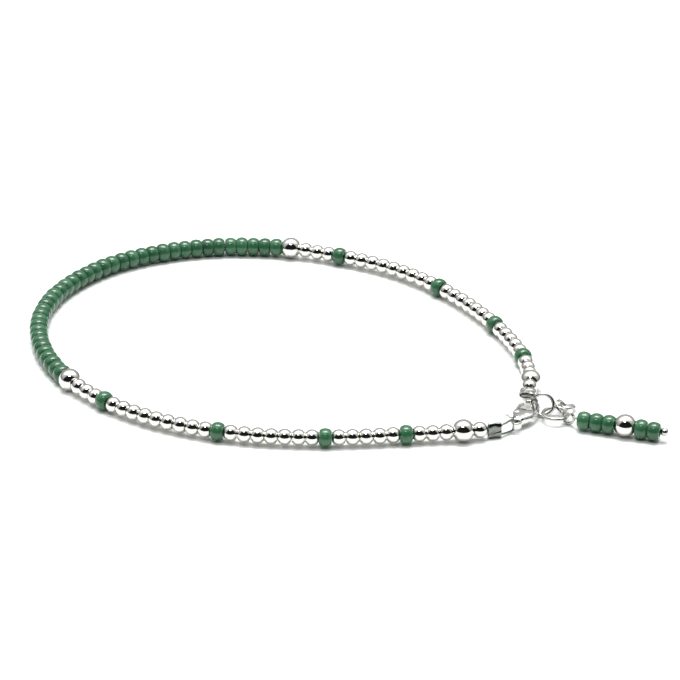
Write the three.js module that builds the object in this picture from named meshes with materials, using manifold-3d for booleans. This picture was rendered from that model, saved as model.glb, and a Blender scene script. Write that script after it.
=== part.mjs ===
// A beaded anklet: green glass and silver beads on a wire, closed by a lobster clasp.
// Millimetres, +Z up. The anklet lies on a flat surface at z = 0, with the middle of its box over the origin.

import * as THREE from 'three';
import { mergeVertices } from 'three/addons/utils/BufferGeometryUtils.js';
import Module from 'manifold-3d';

const wasm = await Module();
wasm.setup();

// Beads: diameter, and the length of string that one bead takes
const SMALL_BALL = { diameter: 2.5, pitch: 2.04 };
const GREEN_BEAD = { diameter: 3.05, pitch: 1.93 };
const LARGE_BALL = { diameter: 3.5, pitch: 3.06 };
const BORE_DIAMETER = 0.9;
const STRING_GAP = 0.1;         // air between two neighbours that are pieces of their own
const BEAD_SIDES = 10;
const BEAD_STEPS = 4;           // sections along one bead
const BEADS_PER_BORE_STEP = 2;
const GREEN_FACE_SHARE = 0.72;  // flat end of a green bead, as a share of its diameter
const GREEN_ROUNDING = 2.6;     // power of the curve between end and middle: 2 is a circle

// Wire and fittings
const WIRE_DIAMETER = 0.38;
const WIRE_SIDES = 6;
const WIRE_STEP = 4;
const WIRE_CLEARANCE = 0.16;
const LOOP_STEP = 0.4;
const LIFT_REACH = 2.6;         // how far from a large ball the string is still lifted
const FAR_CLIMB = 0.06;         // rise per length past the last ball, to pass over the clasp's hook
const CRIMP_LENGTH = 2.0;
const CRIMP_HEIGHT = 2.6;
const CRIMP_THICKNESS = 1.2;
const CRIMP_WALL = 0.2;
const CRIMP_DENT = 0.1;
const CRIMP_SIDES = 12;
const CRIMP_FROM_BEAD = 0.3;
const CRIMP_MIDDLE = CRIMP_FROM_BEAD + CRIMP_LENGTH / 2;
const CRIMP_STATIONS = [0, 0.25, 0.5, 0.75, 1];
const STRAND_SPREAD = 1.5;      // distance between the two strands of an end loop

// Lobster clasp, along its own length from the end ring
const CLASP_LENGTH = 7.5;
const CLASP_WIDTH = 3.7;
const CLASP_THICKNESS = 1.75;   // at the belly
const HOOK_THICKNESS = 1.0;
const HOOK_SIDES = 10;
const HOOK_TIP_SHARE = 0.7;     // thickness left at the tip
const CLASP_BEVEL = 0.4;
const BEVEL_STEPS = 2;
const END_RING_OUTER = 1.8;
const END_RING_BORE = 1.05;
const END_RING_HEIGHT = 1.1;
const LEVER_THICKNESS = 0.66;
const LEVER_WIDTH = 0.62;
const LEVER_BEVEL = 0.12;
const LEVER_CLEARANCE = 0.14;
const LEVER_BOSS_DIAMETER = 1.0;
const TAB_WIDTH = 0.44;
const SLOT_START = 0.14;        // shares of the clasp's length
const SLOT_END = 0.68;
const SLOT_FLOOR = 0.12;        // share of the clasp's half-width
const PIVOT_PIN_DIAMETER = 0.6;
const LEVER_PAD_DIAMETER = 0.6;
const SMALL_ROUND_SIDES = 10;
const END_RING_SIDES = 16;
const CLASP_RISE = 1.5;         // degrees that the hook is lifted above the end ring
const CLASP_HEADING = 66.5;     // degrees from +X

// The clasp in its own plane: shares of its length from the end ring's middle, and of its half-width.
// The lever's side is the positive one.
const BELLY_OUTLINE = [
  { along: 0.085, across: 0.26 }, { along: 0.19, across: 0.60 }, { along: 0.32, across: 0.88 },
  { along: 0.44, across: 0.93 }, { along: 0.53, across: 0.76 }, { along: 0.56, across: 0.30 },
  { along: 0.56, across: -0.30 }, { along: 0.54, across: -0.80 }, { along: 0.44, across: -0.97 },
  { along: 0.32, across: -0.88 }, { along: 0.19, across: -0.58 }, { along: 0.085, across: -0.26 },
];
// The hook's middle line from the belly round the nose to its tip, with its width
const HOOK_LINE = [
  { along: 0.42, across: -0.66, width: 0.44 }, { along: 0.56, across: -0.78, width: 0.43 },
  { along: 0.70, across: -0.77, width: 0.41 }, { along: 0.83, across: -0.61, width: 0.39 },
  { along: 0.92, across: -0.31, width: 0.37 }, { along: 0.953, across: 0.06, width: 0.36 },
  { along: 0.93, across: 0.40, width: 0.33 }, { along: 0.895, across: 0.60, width: 0.24 },
];
// The lever's middle line from the rivet to its tip, and its tab's from the rivet to the thumb
const LEVER_LINE = [
  { along: 0.335, across: 0.44 }, { along: 0.46, across: 0.66 }, { along: 0.60, across: 0.78 },
  { along: 0.73, across: 0.78 }, { along: 0.815, across: 0.66 },
];
const TAB_LINE = [
  { along: 0.335, across: 0.44 }, { along: 0.235, across: 0.66 }, { along: 0.225, across: 0.98 },
  { along: 0.27, across: 1.24 },
];

// Jump rings and drop
const RING_A = { outer: 3.9, wire: 0.6 };
const RING_B = { outer: 4.5, wire: 0.6 };
const RING_C = { outer: 2.66, wire: 0.46 };
const RING_D = { outer: 2.9, wire: 0.5 };
const RING_SIDES = 6;
const RING_STEPS = 18;
const PIN_DIAMETER = 0.5;
const PIN_LOOP_OUTER = 2.4;
const PIN_BALL_DIAMETER = 1.3;
const PIN_LOOP_START = 27;      // degrees about the loop, from the drop's side
const PIN_LOOP_END = 350;
const PIN_LOOP_STEPS = 18;

const RESTING_GAP = 0.02;       // air between a piece that rests and the surface

// Order of the beads from the clasp's end to the ring's end. A run is one fused piece.
const STRING = [
  ['near_end_bead', SMALL_BALL, 1], ['near_ball_end', LARGE_BALL, 1],
  ['near_run_1', SMALL_BALL, 3], ['near_green_1', GREEN_BEAD, 1],
  ['near_run_2', SMALL_BALL, 5], ['near_green_2', GREEN_BEAD, 1],
  ['near_run_3', SMALL_BALL, 7], ['near_green_3', GREEN_BEAD, 1],
  ['near_run_4', SMALL_BALL, 9], ['near_green_4', GREEN_BEAD, 1],
  ['near_run_5', SMALL_BALL, 3], ['near_ball_run', LARGE_BALL, 1],
  ['green_bead_run', GREEN_BEAD, 39],
  ['far_ball_run', LARGE_BALL, 1], ['far_run_5', SMALL_BALL, 3],
  ['far_green_4', GREEN_BEAD, 1], ['far_run_4', SMALL_BALL, 9],
  ['far_green_3', GREEN_BEAD, 1], ['far_run_3', SMALL_BALL, 7],
  ['far_green_2', GREEN_BEAD, 1], ['far_run_2', SMALL_BALL, 5],
  ['far_green_1', GREEN_BEAD, 1], ['far_run_1', SMALL_BALL, 3],
  ['far_ball_end', LARGE_BALL, 1], ['far_end_bead', SMALL_BALL, 1],
];
const DROP = [
  ['drop_green_1', GREEN_BEAD], ['drop_green_2', GREEN_BEAD], ['drop_green_3', GREEN_BEAD],
  ['drop_ball', LARGE_BALL], ['drop_green_4', GREEN_BEAD], ['drop_green_5', GREEN_BEAD],
];

// The string's route on the surface, chosen by hand: it starts beside the clasp and ends beside ring A.
const ROUTE_POINTS = [
  [22.1, -32.9], [18.5, -33.7], [10.3, -34.7], [2.2, -35.8], [-5.8, -36.1], [-13.9, -35.4], [-21.8, -33.4],
  [-29.2, -29.9], [-35.7, -25.0], [-41.4, -18.6], [-45.3, -11.1], [-47.4, -3.5], [-47.8, 4.0], [-46.3, 11.3],
  [-42.8, 18.2], [-37.7, 24.1], [-31.2, 28.3], [-24.0, 30.9], [-16.2, 31.9], [-8.2, 31.0], [0.0, 28.4],
  [7.4, 24.6], [13.5, 19.6], [18.7, 13.4], [23.0, 6.5], [26.4, -0.8], [28.8, -8.6],
  [29.5, -16.9], [29.0, -20.4],
];
const ROUTE_ANCHOR = new THREE.Vector2(27, -27);

const END_RING_CENTRE = new THREE.Vector3(26.7, -30.5, 1.3);
// Each ring: its middle from the clasp's nose, with its height above the surface, the lean of its axis
// from the vertical, and the heading of that lean, in degrees. Ring A's height follows from its size.
const RING_A_PLACE = { x: 1.26, y: -1.58, lean: 73, heading: -100 };
const RING_B_PLACE = { x: 3.21, y: -3.08, z: 1.17, lean: 0, heading: 0 };
const RING_C_PLACE = { x: 4.16, y: -0.94, z: 1.15, lean: 53, heading: -23 };
const RING_D_PLACE = { x: 5.06, y: 0.31, z: 0.71, lean: 13.5, heading: 74 };
const PIN_LOOP_PLACE = { x: 4.92, y: -4.49, z: 1.22, lean: 90, heading: -120 };
const FAR_LOOP_ANGLE = 150;     // where the far loop goes round ring A, in degrees about the ring

// The drop lies from its first bead's face, which is measured from the clasp's nose too, along a heading
const DROP_START = { x: 6.37, y: -5.63 };
const DROP_HEADING = -17;

const SILVER = new THREE.MeshStandardMaterial({ color: 0xe8e6e0, metalness: 1, roughness: 0.12 });
const GREEN_GLASS = new THREE.MeshStandardMaterial({ color: 0x3f7f55, metalness: 0, roughness: 0.15 });
const WIRE_METAL = new THREE.MeshStandardMaterial({ color: 0xb8b8b4, metalness: 1, roughness: 0.3 });

const radians = THREE.MathUtils.degToRad;
const vector = (x, y, z) => new THREE.Vector3(x, y, z);
const UP = vector(0, 0, 1);

// Skins rings of equal count. A closed skin joins the last ring to the first, as on a drilled bead,
// and an open one gets a fan at each end, as on a wire.
function skin(rings, closed) {
  const sides = rings[0].length;
  const points = rings.flat();
  const faces = [];
  const spans = closed ? rings.length : rings.length - 1;
  for (let span = 0; span < spans; span += 1) {
    const here = span * sides;
    const next = ((span + 1) % rings.length) * sides;
    for (let side = 0; side < sides; side += 1) {
      const beside = (side + 1) % sides;
      faces.push([here + side, here + beside, next + side]);
      faces.push([here + beside, next + beside, next + side]);
    }
  }
  if (!closed) {
    const last = (rings.length - 1) * sides;
    for (let side = 1; side < sides - 1; side += 1) {
      faces.push([0, side + 1, side]);
      faces.push([last, last + side, last + side + 1]);
    }
  }
  const geometry = new THREE.BufferGeometry();
  geometry.setAttribute('position', new THREE.Float32BufferAttribute(points.flatMap((p) => p.toArray()), 3));
  geometry.setIndex(faces.flat());
  return geometry;
}

// One ring of points about a frame {origin, side, up}; across and high are its half-sizes
function ringAt(frame, across, high, sides) {
  return Array.from({ length: sides }, (_, index) => {
    const angle = (2 * Math.PI * (index + 0.5)) / sides;
    return frame.origin.clone()
      .addScaledVector(frame.side, across * Math.cos(angle))
      .addScaledVector(frame.up, high * Math.sin(angle));
  });
}

// Half-width of a bead at a place from -1 (one end) to 1 (the other end)
function beadRadius(bead, place) {
  const radius = bead.diameter / 2;
  const halfLength = (bead.pitch - STRING_GAP) / 2;
  if (bead === GREEN_BEAD) {
    const bulge = (1 - Math.abs(place) ** GREEN_ROUNDING) ** (1 / GREEN_ROUNDING);
    return radius * (GREEN_FACE_SHARE + (1 - GREEN_FACE_SHARE) * bulge);
  }
  return Math.sqrt(radius ** 2 - (halfLength * place) ** 2);
}

// A drilled piece of one or more equal beads, fused at their end faces
function beadPiece(frameAt, start, bead, count) {
  const outer = [];
  const bore = [];
  const length = bead.pitch * count - STRING_GAP;
  const pitch = length / count;
  for (let index = 0; index < count; index += 1) {
    const first = start + STRING_GAP / 2 + pitch * index;
    for (let step = index === 0 ? 0 : 1; step <= BEAD_STEPS; step += 1) {
      const place = -Math.cos((Math.PI * step) / BEAD_STEPS);
      const radius = beadRadius(bead, place);
      outer.push(ringAt(frameAt(first + (pitch * (1 + place)) / 2), radius, radius, BEAD_SIDES));
    }
  }
  const boreSteps = Math.ceil(count / BEADS_PER_BORE_STEP);
  for (let step = 0; step <= boreSteps; step += 1) {
    const frame = frameAt(start + STRING_GAP / 2 + length * (1 - step / boreSteps));
    bore.push(ringAt(frame, BORE_DIAMETER / 2, BORE_DIAMETER / 2, BEAD_SIDES));
  }
  return skin([...outer, ...bore], true);
}

// A wire through the given points, its rings carried along without twist
function wireAlong(points, diameter, sides) {
  const rings = [];
  let side = null;
  points.forEach((point, index) => {
    const before = points[Math.max(index - 1, 0)];
    const after = points[Math.min(index + 1, points.length - 1)];
    const along = after.clone().sub(before).normalize();
    side = side ?? vector(0, 0, 1).cross(along).normalize();
    side = side.clone().addScaledVector(along, -side.dot(along)).normalize();
    const frame = { origin: point, side, up: along.clone().cross(side) };
    rings.push(ringAt(frame, diameter / 2, diameter / 2, sides));
  });
  return skin(rings, false);
}

function solidOf(geometry) {
  const plain = geometry.index ? geometry : geometry.clone();
  plain.deleteAttribute('normal');
  plain.deleteAttribute('uv');
  const merged = mergeVertices(plain, 1e-5);
  return new wasm.Manifold(new wasm.Mesh({
    numProp: 3,
    vertProperties: new Float32Array(merged.attributes.position.array),
    triVerts: new Uint32Array(merged.index.array),
  }));
}

function geometryOf(solid) {
  const mesh = solid.getMesh();
  const geometry = new THREE.BufferGeometry();
  geometry.setAttribute('position', new THREE.BufferAttribute(mesh.vertProperties, 3));
  geometry.setIndex(new THREE.BufferAttribute(mesh.triVerts, 1));
  return geometry;
}

// The string: where each piece starts, measured along the wire from the near crimp
const stringLength = STRING.reduce((sum, [, bead, count]) => sum + bead.pitch * count, 0);
const starts = [];
STRING.reduce((start, [, bead, count]) => {
  starts.push(start);
  return start + bead.pitch * count;
}, 0);
const ballPlaces = STRING.flatMap(([, bead], index) => (
  bead === LARGE_BALL ? [starts[index] + bead.pitch / 2] : []));

// The route keeps its form and is drawn out from the clasp until it is as long as its beads
function routeCurve() {
  let stretch = 1;
  let curve = null;
  for (let pass = 0; pass < 8; pass += 1) {
    const points = ROUTE_POINTS.map(([x, y]) => {
      const flat = new THREE.Vector2(x, y).sub(ROUTE_ANCHOR).multiplyScalar(stretch).add(ROUTE_ANCHOR);
      return vector(flat.x, flat.y, 0);
    });
    curve = new THREE.CatmullRomCurve3(points, false, 'centripetal');
    curve.arcLengthDivisions = 1200;
    stretch *= stringLength / curve.getLength();
  }
  return curve;
}
const route = routeCurve();

// The wire runs at a green bead's middle, and rises where a large ball lifts it,
// until, past the last ball, it climbs to pass over the clasp's hook
function wireHeight(place) {
  const base = GREEN_BEAD.diameter / 2;
  const lift = (LARGE_BALL.diameter - GREEN_BEAD.diameter) / 2;
  const pastLastBall = place - ballPlaces.at(-1);
  if (pastLastBall > 0) return base + lift + FAR_CLIMB * pastLastBall + RESTING_GAP;
  const nearest = Math.min(...ballPlaces.map((ball) => Math.abs(place - ball)));
  return base + lift * Math.exp(-((nearest / LIFT_REACH) ** 2)) + RESTING_GAP;
}

function stringPoint(place) {
  const share = THREE.MathUtils.clamp(place / stringLength, 0, 1);
  const point = route.getPointAt(share);
  const beyond = place - share * stringLength;
  point.addScaledVector(route.getTangentAt(share), beyond);
  return point.setZ(wireHeight(place));
}

function stringFrame(place) {
  const reach = 0.05;
  const along = stringPoint(place + reach).sub(stringPoint(place - reach)).normalize();
  const side = UP.clone().cross(along).normalize();
  return { origin: stringPoint(place), along, side, up: along.clone().cross(side) };
}

// The closure: a flattened crimp at each end of the string
const outwards = (frame) => ({ ...frame, along: frame.along.clone().negate() });
const nearCrimp = outwards(stringFrame(-CRIMP_MIDDLE));
nearCrimp.origin.setZ(CRIMP_HEIGHT / 2 + RESTING_GAP);
const farCrimp = stringFrame(stringLength + CRIMP_MIDDLE);

// A flattened tube, open at both ends for the two strands and pinched at its middle
function crimp(frame, spread) {
  const thin = frame.along.clone().cross(spread);
  const ring = (share, wall) => {
    const origin = frame.origin.clone().addScaledVector(frame.along, (share - 0.5) * CRIMP_LENGTH);
    const pinch = CRIMP_DENT * Math.sin(Math.PI * share);
    const section = { origin, side: thin.clone().negate(), up: spread };
    return ringAt(section, CRIMP_THICKNESS / 2 - pinch - wall, CRIMP_HEIGHT / 2 - wall, CRIMP_SIDES);
  };
  const outer = CRIMP_STATIONS.map((share) => ring(share, 0));
  const inner = CRIMP_STATIONS.toReversed().map((share) => ring(share, CRIMP_WALL));
  return skin([...outer, ...inner], true);
}

// The clasp's own frame: X along it from the end ring, Y towards the lever
const claspTurn = new THREE.Euler(0, radians(-CLASP_RISE), radians(CLASP_HEADING), 'ZYX');
function fromClasp(along, across, above) {
  return vector(along, across, above).applyEuler(claspTurn).add(END_RING_CENTRE);
}

// A point measured from the clasp's nose, at a height above the surface
function fromNose({ x, y }, height) {
  return fromClasp(CLASP_LENGTH, 0, 0).add(vector(x, y, 0)).setZ(height);
}

// The frame of a ring: its axis, a level direction across it, and the direction up its face
function ringFrame({ lean, heading, ...spot }) {
  const axis = vector(0, 0, 1)
    .applyAxisAngle(vector(0, 1, 0), radians(lean))
    .applyAxisAngle(UP, radians(heading));
  const across = vector(0, 1, 0).applyAxisAngle(UP, radians(heading));
  return { centre: fromNose(spot, spot.z), axis, across, rise: axis.clone().cross(across) };
}
function onRing({ centre, across, rise }, radius, angle) {
  return centre.clone().addScaledVector(across, radius * Math.cos(radians(angle)))
    .addScaledVector(rise, radius * Math.sin(radians(angle)));
}
const meanRadius = (ring) => (ring.outer - ring.wire) / 2;

const onClasp = ({ along, across }) => new THREE.Vector2(along * CLASP_LENGTH, (across * CLASP_WIDTH) / 2);

// A closed smooth outline through the places of a table
function roundShape(outline) {
  const corners = outline.map(onClasp).map(({ x, y }) => vector(x, y, 0));
  const curve = new THREE.CatmullRomCurve3(corners, true, 'centripetal');
  const points = curve.getPoints(outline.length * 2).slice(0, -1);
  return new THREE.Shape(points.map(({ x, y }) => new THREE.Vector2(x, y)));
}

// A plate with rounded edges, centred on the clasp's middle plane
function roundedPlate(shape, thickness, bevel) {
  const depth = thickness - 2 * bevel;
  const plate = new THREE.ExtrudeGeometry(shape, {
    depth, bevelThickness: bevel, bevelSize: bevel, bevelOffset: -bevel, bevelSegments: BEVEL_STEPS,
  });
  return plate.translate(0, 0, -depth / 2);
}

// A bar of constant width along a line on the clasp's plane
function barShape(line, width) {
  const curve = new THREE.SplineCurve(line.map(onClasp));
  const steps = line.length + 1;
  const edge = (sign) => Array.from({ length: steps + 1 }, (_, step) => {
    const tangent = curve.getTangentAt(step / steps);
    return curve.getPointAt(step / steps).add(
      new THREE.Vector2(-tangent.y, tangent.x).multiplyScalar((sign * width) / 2));
  });
  return new THREE.Shape([...edge(-1), ...edge(1).toReversed()]);
}

const disc = (radius, height, sides) => new THREE.CylinderGeometry(radius, radius, height, sides)
  .rotateX(Math.PI / 2);
const smallBall = (diameter) => new THREE.SphereGeometry(
  diameter / 2, SMALL_ROUND_SIDES, SMALL_ROUND_SIDES / 2);
const pivot = onClasp(LEVER_LINE[0]);

// The hook as a bar with oval sections
function hookBar() {
  const rings = HOOK_LINE.map((place, index) => {
    const middle = onClasp(place);
    const before = onClasp(HOOK_LINE[Math.max(index - 1, 0)]);
    const after = onClasp(HOOK_LINE[Math.min(index + 1, HOOK_LINE.length - 1)]);
    const along = vector(after.x - before.x, after.y - before.y, 0).normalize();
    const frame = { origin: vector(middle.x, middle.y, 0), side: UP.clone().cross(along), up: UP };
    const slim = index === HOOK_LINE.length - 1 ? HOOK_TIP_SHARE : 1;
    return ringAt(frame, (place.width * CLASP_WIDTH) / 4, (HOOK_THICKNESS / 2) * slim, HOOK_SIDES);
  });
  return skin(rings, false);
}

// End ring, belly and hook in one casting, slotted for the lever, with the rivet across the slot
function claspBody() {
  const belly = roundShape(BELLY_OUTLINE);
  const slotWidth = CLASP_WIDTH;
  const slotLength = (SLOT_END - SLOT_START) * CLASP_LENGTH;
  const slot = new THREE.BoxGeometry(slotLength, slotWidth, LEVER_THICKNESS + 2 * LEVER_CLEARANCE)
    .translate(SLOT_START * CLASP_LENGTH + slotLength / 2, SLOT_FLOOR * CLASP_WIDTH / 2 + slotWidth / 2, 0);
  const rivet = disc(PIVOT_PIN_DIAMETER / 2, CLASP_THICKNESS - CLASP_BEVEL, SMALL_ROUND_SIDES)
    .translate(pivot.x, pivot.y, 0);
  const bore = disc(END_RING_BORE / 2, END_RING_HEIGHT * 2, END_RING_SIDES);
  return geometryOf(solidOf(hookBar())
    .add(solidOf(roundedPlate(belly, CLASP_THICKNESS, CLASP_BEVEL)))
    .add(solidOf(disc(END_RING_OUTER / 2, END_RING_HEIGHT, END_RING_SIDES)))
    .subtract(solidOf(bore))
    .subtract(solidOf(slot))
    .add(solidOf(rivet)));
}

// The lever closes the mouth, turns on the rivet and carries a thumb tab
function claspLever() {
  const arm = solidOf(roundedPlate(barShape(LEVER_LINE, LEVER_WIDTH), LEVER_THICKNESS, LEVER_BEVEL));
  const tab = solidOf(roundedPlate(barShape(TAB_LINE, TAB_WIDTH), LEVER_THICKNESS, LEVER_BEVEL));
  const boss = solidOf(disc(LEVER_BOSS_DIAMETER / 2, LEVER_THICKNESS, SMALL_ROUND_SIDES)
    .translate(pivot.x, pivot.y, 0));
  const end = onClasp(TAB_LINE.at(-1));
  const pad = solidOf(smallBall(LEVER_PAD_DIAMETER).translate(end.x, end.y, 0));
  const eye = solidOf(disc(PIVOT_PIN_DIAMETER / 2 + LEVER_CLEARANCE, LEVER_THICKNESS * 2, SMALL_ROUND_SIDES)
    .translate(pivot.x, pivot.y, 0));
  return geometryOf(arm.add(tab).add(boss).add(pad).subtract(eye));
}

// A smooth line through the given points, in steps short enough for a wire loop
function smoothLine(points, step) {
  const curve = new THREE.CatmullRomCurve3(points, false, 'centripetal');
  return curve.getSpacedPoints(Math.ceil(curve.getLength() / step));
}

const shifted = (point, ...moves) => moves.reduce(
  (sum, [direction, distance]) => sum.addScaledVector(direction, distance), point.clone());

// One end of the wire: from the last bead through the crimp, round the loop's corners and back into the
// crimp. apart is the way that the two strands spread.
function endLoop({ origin, along }, apart, corners) {
  const half = CRIMP_LENGTH / 2;
  const spread = STRAND_SPREAD / 2;
  return smoothLine([
    shifted(origin, [along, -half]),
    shifted(origin, [along, half * 0.2], [apart, spread * 0.6]),
    shifted(origin, [along, half], [apart, spread]),
    ...corners,
    shifted(origin, [along, half], [apart, -spread]),
    shifted(origin, [along, half * 0.1], [apart, -spread * 0.8]),
  ], LOOP_STEP);
}

// The near loop goes over the clasp's end ring, down its bore and back below it
function nearLoop() {
  const axis = fromClasp(0, 0, 1).sub(END_RING_CENTRE);
  const back = nearCrimp.origin.clone().sub(END_RING_CENTRE).setZ(0).normalize();
  const above = (END_RING_HEIGHT + WIRE_DIAMETER) / 2 + WIRE_CLEARANCE;
  const wall = (END_RING_OUTER + END_RING_BORE) / 4;
  const inBore = (END_RING_BORE - WIRE_DIAMETER) / 2 - WIRE_CLEARANCE;
  return endLoop(nearCrimp, UP, [
    shifted(END_RING_CENTRE, [back, wall], [axis, above]),
    shifted(END_RING_CENTRE, [back, inBore], [axis, END_RING_HEIGHT / 2]),
    shifted(END_RING_CENTRE, [back, inBore], [axis, -END_RING_HEIGHT / 2]),
    shifted(END_RING_CENTRE, [back, wall], [axis, -above]),
  ]);
}

// The far loop goes round ring A where that ring climbs, just above the clasp's hook
function farLoop(ringA) {
  const reach = (RING_A.wire + WIRE_DIAMETER) / 2 + WIRE_CLEARANCE;
  const middle = meanRadius(RING_A);
  const apart = UP.clone().cross(farCrimp.along).normalize();
  return endLoop(farCrimp, apart, [
    onRing(ringA, middle - reach, FAR_LOOP_ANGLE),
    shifted(onRing(ringA, middle, FAR_LOOP_ANGLE), [ringA.axis, reach]),
    onRing(ringA, middle + reach, FAR_LOOP_ANGLE),
  ]);
}

// The whole wire, from the tail in the near crimp to the tail in the far one
function beadingWire(ringA) {
  const steps = Math.ceil(stringLength / WIRE_STEP);
  const inBeads = Array.from({ length: steps + 1 }, (_, step) => (
    stringPoint((stringLength * step) / steps)));
  return wireAlong([...nearLoop().toReversed(), ...inBeads, ...farLoop(ringA)], WIRE_DIAMETER, WIRE_SIDES);
}

// The drop's pin and beads lie on the surface, on one straight line
const dropAlong = vector(1, 0, 0).applyAxisAngle(UP, radians(DROP_HEADING));
const dropLength = DROP.reduce((sum, [, bead]) => sum + bead.pitch, 0);
const pinHeight = RESTING_GAP + (GREEN_BEAD.diameter + LARGE_BALL.diameter) / 4;
function dropFrame(bead) {
  return (place) => ({
    origin: fromNose(DROP_START, bead.diameter / 2 + RESTING_GAP).addScaledVector(dropAlong, place),
    along: dropAlong,
    side: UP.clone().cross(dropAlong),
    up: UP,
  });
}

// The head pin: a turned loop, then a straight pin to a ball end
function headpin() {
  const loop = ringFrame(PIN_LOOP_PLACE);
  const radius = (PIN_LOOP_OUTER - PIN_DIAMETER) / 2;
  const towards = loop.across.dot(dropAlong) > 0 ? 1 : -1;
  const turns = Array.from({ length: PIN_LOOP_STEPS + 1 }, (_, step) => {
    const angle = PIN_LOOP_START + ((PIN_LOOP_END - PIN_LOOP_START) * step) / PIN_LOOP_STEPS;
    return onRing(loop, radius, towards > 0 ? angle : 180 - angle);
  }).toReversed();
  const start = fromNose(DROP_START, pinHeight);
  const end = shifted(start, [dropAlong, dropLength + PIN_BALL_DIAMETER / 2]);
  const pin = solidOf(wireAlong([...turns, start, end], PIN_DIAMETER, WIRE_SIDES));
  const ball = smallBall(PIN_BALL_DIAMETER).translate(end.x, end.y, end.z);
  return geometryOf(pin.add(solidOf(ball)));
}

const anklet = new THREE.Group();
function place(parent, name, geometry, material) {
  const mesh = new THREE.Mesh(geometry, material);
  mesh.name = name;
  parent.add(mesh);
  return mesh;
}

function placeRing(name, ring, frame) {
  const geometry = new THREE.TorusGeometry(meanRadius(ring), ring.wire / 2, RING_SIDES, RING_STEPS);
  const mesh = place(anklet, name, geometry, SILVER);
  mesh.position.copy(frame.centre);
  mesh.quaternion.setFromUnitVectors(UP, frame.axis);
}

const materialOf = (bead) => (bead === GREEN_BEAD ? GREEN_GLASS : SILVER);
STRING.forEach(([name, bead, count], index) => {
  place(anklet, name, beadPiece(stringFrame, starts[index], bead, count), materialOf(bead));
});
DROP.reduce((start, [name, bead]) => {
  place(anklet, name, beadPiece(dropFrame(bead), start, bead, 1), materialOf(bead));
  return start + bead.pitch;
}, 0);
place(anklet, 'headpin', headpin(), SILVER);

const standing = meanRadius(RING_A) * Math.sin(radians(RING_A_PLACE.lean)) + RING_A.wire / 2 + RESTING_GAP;
const ringA = ringFrame({ ...RING_A_PLACE, z: standing });
placeRing('ring_a', RING_A, ringA);
placeRing('ring_b', RING_B, ringFrame(RING_B_PLACE));
placeRing('ring_c', RING_C, ringFrame(RING_C_PLACE));
placeRing('ring_d', RING_D, ringFrame(RING_D_PLACE));

place(anklet, 'near_crimp', crimp(nearCrimp, UP), SILVER);
place(anklet, 'far_crimp', crimp(farCrimp, UP.clone().cross(farCrimp.along).normalize()), SILVER);
place(anklet, 'beading_wire', beadingWire(ringA), WIRE_METAL);

const clasp = new THREE.Group();
clasp.position.copy(END_RING_CENTRE);
clasp.rotation.copy(claspTurn);
place(clasp, 'clasp_body', claspBody(), SILVER);
place(clasp, 'clasp_lever', claspLever(), SILVER);
anklet.add(clasp);

// The middle of the box stands over the origin
anklet.updateMatrixWorld(true);
const middle = new THREE.Box3().setFromObject(anklet, true).getCenter(vector(0, 0, 0));
anklet.position.set(-middle.x, -middle.y, 0);
anklet.updateMatrixWorld(true);

export default anklet;
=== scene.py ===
# %% [markdown]
# # A beaded anklet
# Green glass beads and silver balls sit on one fine wire. A lobster clasp closes it into a jump ring,
# and a short beaded drop hangs from a second ring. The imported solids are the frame: every piece below
# stands for one of them and adds what the solids leave out, such as round lips, twist and joints.

# %% Load the frame
import math
import bmesh
import bpy
import numpy as np
from mathutils import Matrix, Vector


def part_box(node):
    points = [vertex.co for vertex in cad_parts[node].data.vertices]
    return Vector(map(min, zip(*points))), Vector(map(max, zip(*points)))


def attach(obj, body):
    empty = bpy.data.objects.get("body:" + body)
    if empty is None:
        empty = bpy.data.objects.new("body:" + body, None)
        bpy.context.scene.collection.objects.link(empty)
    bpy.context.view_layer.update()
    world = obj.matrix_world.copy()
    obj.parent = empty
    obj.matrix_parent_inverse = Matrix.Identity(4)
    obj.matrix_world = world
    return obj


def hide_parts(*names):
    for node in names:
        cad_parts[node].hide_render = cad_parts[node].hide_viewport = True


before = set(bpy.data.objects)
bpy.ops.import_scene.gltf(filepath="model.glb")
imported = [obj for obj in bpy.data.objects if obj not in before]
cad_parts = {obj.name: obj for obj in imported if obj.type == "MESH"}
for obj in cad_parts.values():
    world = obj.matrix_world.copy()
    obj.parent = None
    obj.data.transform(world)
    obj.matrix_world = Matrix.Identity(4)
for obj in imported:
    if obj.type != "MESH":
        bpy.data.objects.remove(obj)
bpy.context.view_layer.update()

MM = 0.001

# %% [markdown]
# ## Sizes
# The same sizes as the solids have, in millimetres. A bead is its diameter and the length of string it
# takes. They stand in one place, so that a change here reaches every bead.

# %% Sizes of the beads, wire and fittings
SMALL_BALL = {"name": "small_ball", "diameter": 2.5, "pitch": 2.04, "slot": "silver"}
GREEN_BEAD = {"name": "green_bead", "diameter": 3.05, "pitch": 1.93, "slot": "green_glass"}
LARGE_BALL = {"name": "large_ball", "diameter": 3.5, "pitch": 3.06, "slot": "silver"}
BORE = 0.9
BEAD_AIR = 0.02
WIRE = 0.38
CRIMP = {"length": 2.0, "height": 2.6, "thickness": 1.2, "wall": 0.2, "dent": 0.16, "from_bead": 0.3,
         "waist": 0.42, "rim": 0.05, "rim_from": 0.86, "squareness": 2.2}
CREASE = {"depth": 0.15, "width": 0.17, "level": -0.12, "slant": 0.30}
CRIMP_MIDDLE = CRIMP["from_bead"] + CRIMP["length"] / 2
STRAND_SPREAD = 1.5
WIRE_CLEARANCE = 0.16
LIFT_REACH = 2.6
FAR_CLIMB = 0.06
RESTING_GAP = 0.02
RING_A = {"outer": 3.9, "wire": 0.6}
RING_B = {"outer": 4.5, "wire": 0.6}
RING_C = {"outer": 2.66, "wire": 0.46}
RING_D = {"outer": 2.9, "wire": 0.5}
END_RING = {"outer": 1.8, "bore": 1.05, "height": 1.1}
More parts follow.
